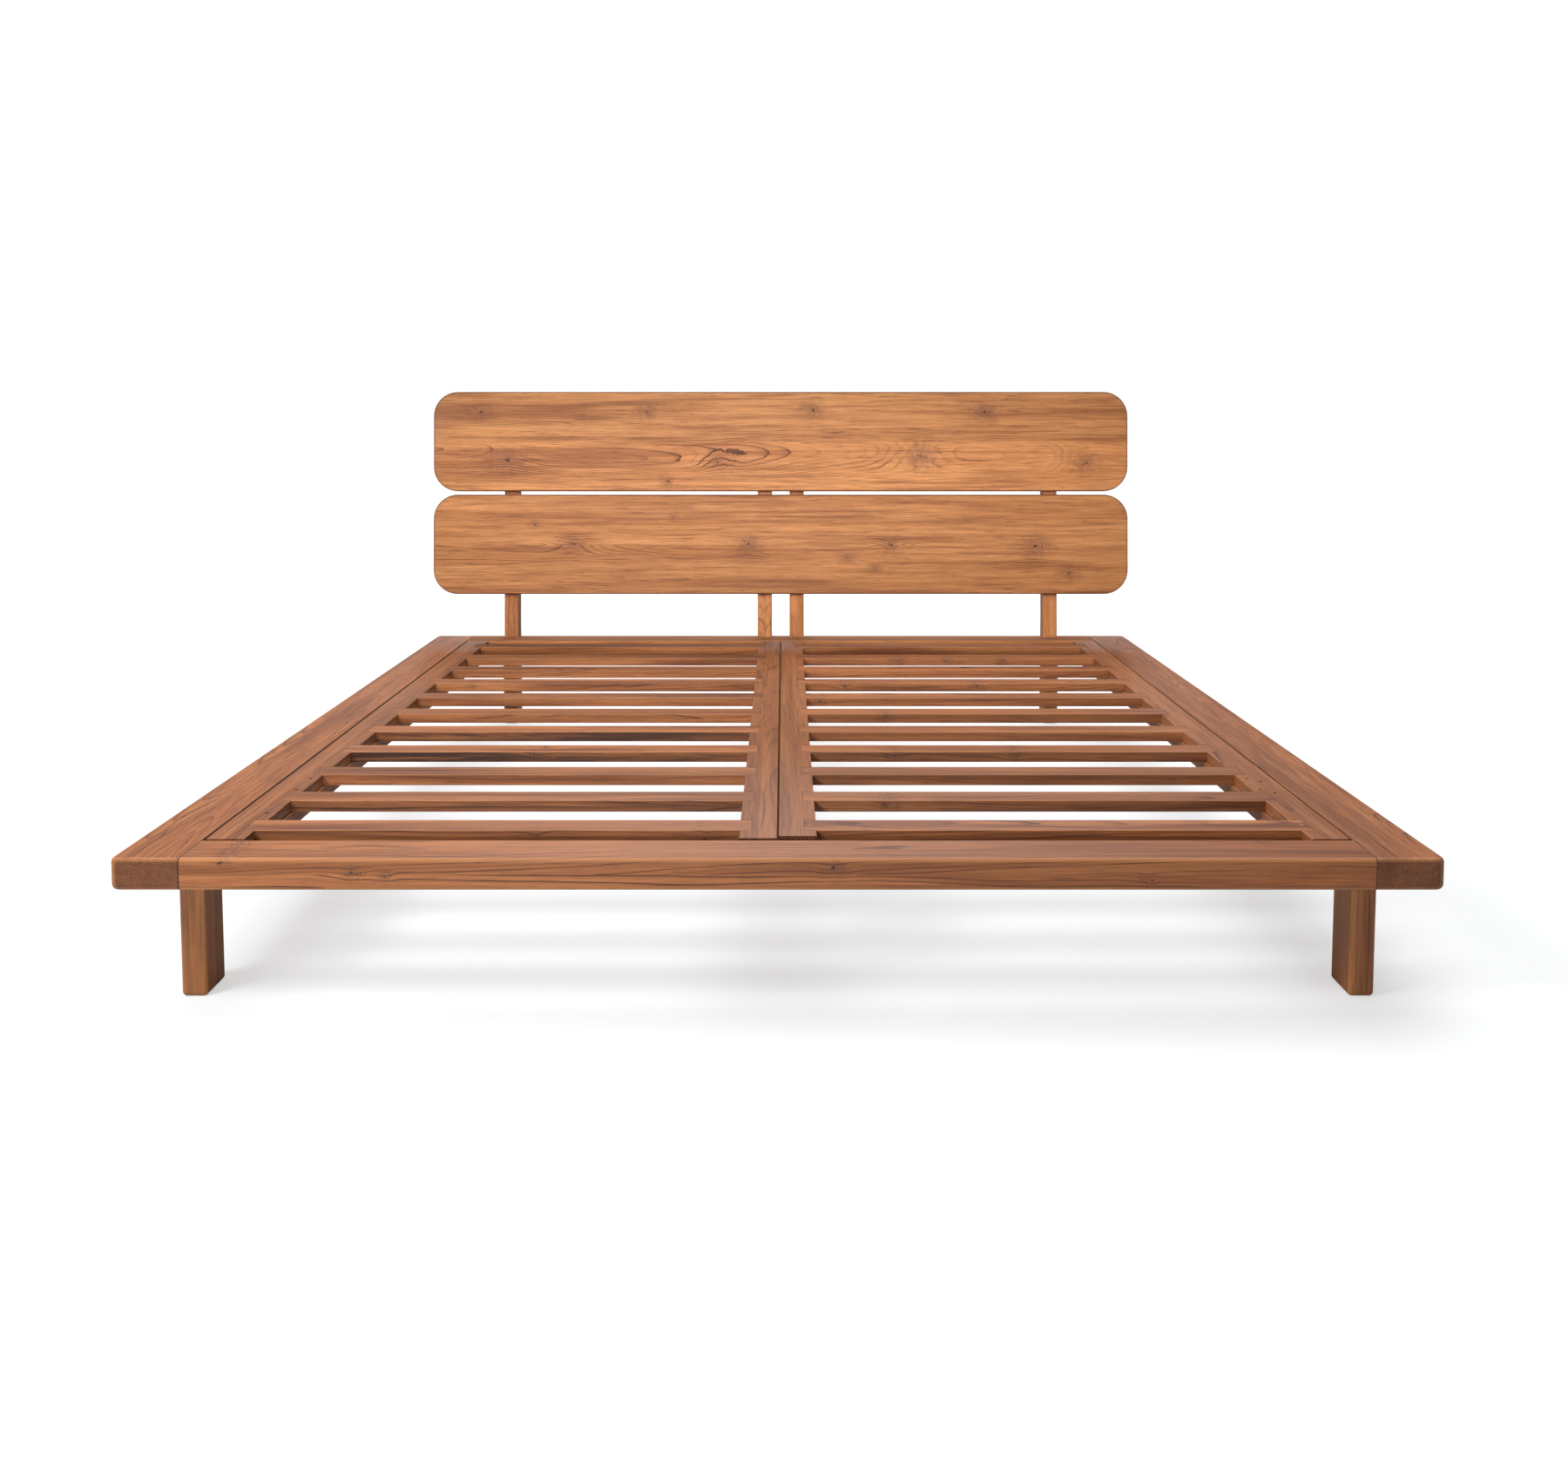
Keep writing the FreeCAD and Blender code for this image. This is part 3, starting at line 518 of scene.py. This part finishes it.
def wood_settings(name, index):
    """What makes one board's wood its own, as the arguments of teak()."""
    settings = {"grain": grain_of(name), "seed": 3.7 * index + 1.3, "tone": own_tone(index)}
    if name in PANEL_KNOTS:
        settings.update(stave=0.145, tone=1.0, gold=1.0, figure=0.65, open_grain=1.4, rings=240.0, heart=0.5,
                        edge=-0.80, knots=PANEL_KNOTS[name])
    elif name == "foot_rail":
        settings.update(stave=0.120, ply=0.120, tone=1.00, figure=0.8, edge=0.40, knots=FOOT_RAIL_KNOTS,
                        knot_face="edge", seam=1.0)
    elif name == "head_rail":
        settings.update(stave=0.0525, ply=0.025, tone=0.84, gold=0.3, seam=1.0, matt=0.35)
    elif name.startswith("side_board"):
        settings.update(stave=0.0525, ply=0.052, tone=1.0, open_grain=1.7, rings=330.0, heart=0.35,
                        seam=1.0 if name.endswith("left") else 0.5)
    elif "_slat_" in name:
        smoke = SMOKY.get(name, 0.0)
        # painted shade: the left base's slat tops darker than their fronts, the right base's lighter; on
        # smoky boards it is partly also the darker marked fronts
        wear = 0.08 if name.startswith("left") else -0.08
        settings.update(figure=1.0, edge=0.35, streak=smoke, knot_face="edge",
                        knots=SLAT_KNOTS.get(name, ()), laps=lap_lengths(name),
                        top_wear=wear - 0.35 * smoke, tone=settings["tone"] * (0.95 - 0.20 * smoke))
        if name.endswith("11"):
            settings.update(matt=0.35, tone=0.75)
        settings["tone"] *= SLAT_TONE.get(name, 1.0)
    elif name == "left_base_outer_stile":
        settings.update(figure=0.45, tone=0.84, seam=1.0)
    elif name == "right_base_outer_stile":
        settings.update(figure=0.45, tone=0.95, seam=0.5)
    elif name.endswith("inner_stile"):
        settings.update(figure=0.35, tone=0.76)
    elif name.startswith("front_leg"):
        settings.update(figure=0.60, tone=0.88 if name.endswith("left") else 0.98, gold=0.25,
                        streak=0.20)
    elif name.startswith("leg_post"):
        settings.update(figure=0.40, tone=1.10, gold=0.50)
    return settings


steel_material = steel()
for index, name in enumerate(sorted(nodes)):
    if any(word in name for word in STEEL_WORDS):
        paint(name, steel_material)
    else:
        paint(name, teak(name, middle(name), **wood_settings(name, index)))

# ------------------------------------------------------------------ floor, light and camera

low, _ = cad_box
FLOOR_SIZE = 60.0
FLOOR_GREY = (0.485, 0.500, 0.510, 1.0)
# painted light: the floor glows to the camera, brighter behind the middle of the bed, where it is seen
# between the slats
FRONT_GLOW, BACK_GLOW = 0.52, 0.70  # the floor's own light before and behind the middle of the bed
GLOW_FROM, GLOW_TO = -0.55, -0.10  # where, along the bed, the one turns into the other
CAMERA_TILT = 4.6  # degrees down
CAMERA_ASIDE, CAMERA_BACK, CAMERA_UP = 0.0096, 2.2494, 0.9331  # from the foot end's middle, on the floor
CAMERA_LENS, SENSOR_WIDTH = 35.17, 36.0  # millimetres
CAMERA_SHIFT = -0.1318  # moves the picture so that the bed stands in it as framed


def add_floor():
    """Large pale floor whose glow to the camera is painted light, brighter under the back of the bed, and
    which throws little light back up.
    """
    bpy.ops.mesh.primitive_plane_add(size=FLOOR_SIZE, location=(0.0, 0.0, low[2]))
    floor = bpy.context.object
    floor.name = "floor"
    material = bpy.data.materials.new("pale_floor")
    material.use_nodes = True
    tree = material.node_tree
    g = Graph(tree)
    seen = tree.nodes.new("ShaderNodeLightPath").outputs["Is Camera Ray"]
    depth = g.split(tree.nodes.new("ShaderNodeTexCoord").outputs["Object"])[1]
    # painted light: only the camera sees this glow, which stands for light falling under the bed through the
    # slats
    glow = g.math("MULTIPLY", g.fit(depth, GLOW_FROM, GLOW_TO, FRONT_GLOW, BACK_GLOW), seen)
    shader = tree.nodes["Principled BSDF"]
    shader.inputs["Base Color"].default_value = FLOOR_GREY
    shader.inputs["Roughness"].default_value = 0.9
    shader.inputs["Specular IOR Level"].default_value = 0.0
    shader.inputs["Emission Color"].default_value = (1.0, 1.0, 1.0, 1.0)
    tree.links.new(glow, shader.inputs["Emission Strength"])
    floor.data.materials.append(material)


def add_area(name, place, target, size, power, spread=180.0, lights=True, mirrored=True):
    """Soft rectangular light at place, facing target; it lights surfaces, is mirrored in them, or both."""
    data = bpy.data.lights.new(name, "AREA")
    data.shape = "RECTANGLE"
    data.size, data.size_y = size
    data.energy = power
    data.spread = math.radians(spread)
    lamp = bpy.data.objects.new(name, data)
    bpy.context.scene.collection.objects.link(lamp)
    lamp.visible_diffuse = lights
    lamp.visible_glossy = mirrored
    lamp.location = place
    lamp.rotation_euler = (Vector(target) - Vector(place)).to_track_quat("-Z", "Y").to_euler()


def add_world(fill, sheen):
    """White backdrop that lights with the fill strength and is mirrored with the sheen strength."""
    world = bpy.data.worlds.new("studio")
    world.use_nodes = True
    g = Graph(world.node_tree)
    rays = world.node_tree.nodes.new("ShaderNodeLightPath").outputs
    strength = g.fit(rays["Is Glossy Ray"], 0.0, 1.0, fill, sheen)
    back = world.node_tree.nodes["Background"]
    back.inputs["Color"].default_value = (1.0, 1.0, 1.0, 1.0)
    world.node_tree.links.new(g.fit(rays["Is Camera Ray"], 0.0, 1.0, strength, 1.0), back.inputs["Strength"])
    bpy.context.scene.world = world


def add_sun(name, strength, angle, aim):
    """Very soft parallel light that shines along aim."""
    data = bpy.data.lights.new(name, "SUN")
    data.energy = strength
    data.angle = math.radians(angle)
    lamp = bpy.data.objects.new(name, data)
    bpy.context.scene.collection.objects.link(lamp)
    lamp.rotation_euler = Vector(aim).to_track_quat("-Z", "Y").to_euler()


def add_camera():
    """Camera in front of the foot end, a little above it and tilted slightly down."""
    data = bpy.data.cameras.new("camera")
    data.sensor_width = SENSOR_WIDTH
    data.lens = CAMERA_LENS
    data.shift_y = CAMERA_SHIFT
    camera = bpy.data.objects.new("camera", data)
    bpy.context.scene.collection.objects.link(camera)
    camera.location = (CAMERA_ASIDE, low[1] - CAMERA_BACK, low[2] + CAMERA_UP)
    camera.rotation_euler = (math.radians(90.0 - CAMERA_TILT), 0.0, 0.0)
    bpy.context.scene.camera = camera


add_floor()
add_world(fill=0.13, sheen=0.15)
add_sun("top_light", strength=2.45, angle=60.0, aim=(0.06, -0.38, -1.0))
add_area("upper_left", (-2.3, -2.4, 2.4), (0.0, 0.0, 0.25), size=(1.0, 1.0), power=84.0, mirrored=False)
add_area("panel_key", (-0.1, -1.9, 1.25), (0.0, 1.05, 0.68), size=(3.0, 0.4), power=12.4, spread=50.0,
         mirrored=False)
add_area("left_front", (-0.60, low[1] - 2.4, 0.72), (-0.1, low[1], 0.2), size=(0.35, 0.25), power=21.5)
add_area("back_sheen", (0.0, 4.5, 2.25), (0.0, low[1] + 0.2, 0.25), size=(3.6, 0.7), power=42.0,
         lights=False)
add_camera()
bpy.context.scene.view_settings.view_transform = "Standard"
